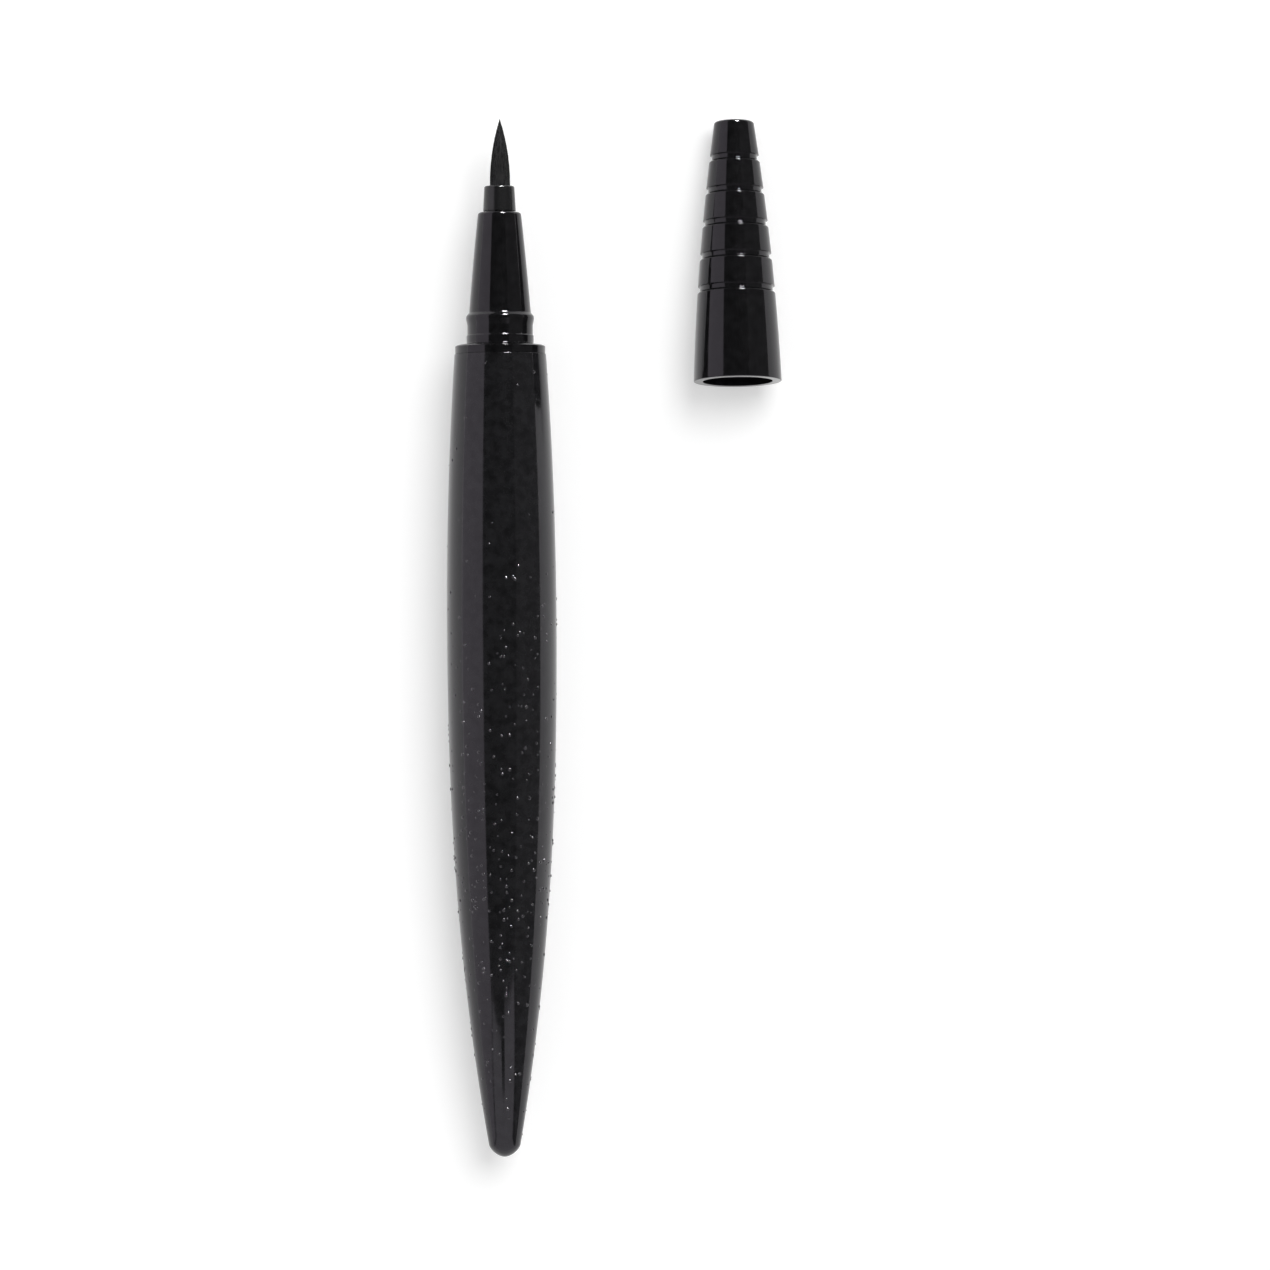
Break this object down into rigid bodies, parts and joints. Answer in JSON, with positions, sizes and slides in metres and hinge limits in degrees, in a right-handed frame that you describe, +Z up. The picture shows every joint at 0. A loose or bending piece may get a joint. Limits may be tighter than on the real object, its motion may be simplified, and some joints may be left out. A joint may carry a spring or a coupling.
{
  "type": "eyeliner",
  "caption": "Slim brush-tip liquid eyeliner pen, uncapped and lying level, with its ringed cap lying beside it.",
  "frame": {"origin": "Middle of the base of the box round the pen and its cap, on the surface that they lie on.", "axes": "+Y along the pen towards its brush tip, +X from the pen towards the cap, +Z up"},
  "size_m": [0.043, 0.1328, 0.0141],
  "materials": {
    "barrel_gloss": "glossy moulded black",
    "section_gloss": "glossy moulded black",
    "cap_gloss": "glossy moulded black",
    "collar_satin": "satin black",
    "liner_satin": "satin black",
    "bristles": "fine bristles wet with black ink",
    "natural_plastic": "unpigmented moulded plastic",
    "wick_fibre": "pressed fibre rod",
    "seal_rubber": "matt elastomer",
    "ball_steel": "polished steel"
  },
  "bodies": {
    "pen": {"barrel": "barrel_gloss", "front_section": "section_gloss", "nose_collar": "collar_satin", "brush_tip": "bristles", "brush_retainer": "natural_plastic", "feed_wick": "wick_fibre", "ink_collector": "natural_plastic", "tank_front_plug": "natural_plastic", "tank_seal_ring": "seal_rubber", "ink_tank": "natural_plastic", "tank_end_plug": "natural_plastic", "rear_cushion": "seal_rubber"},
    "ball": {"mixing_ball": "ball_steel"},
    "cap": {"cap_shell": "cap_gloss", "inner_cap": "liner_satin"}
  },
  "joints": [
    {"name": "cap_pull", "type": "slide", "parent": "pen", "child": "cap", "axis": [0, 1, 0], "range_m": [0, 0.034]},
    {"name": "ball_roll", "type": "slide", "parent": "pen", "child": "ball", "axis": [0, 1, 0], "range_m": [-0.0058, 0.0325]}
  ]
}
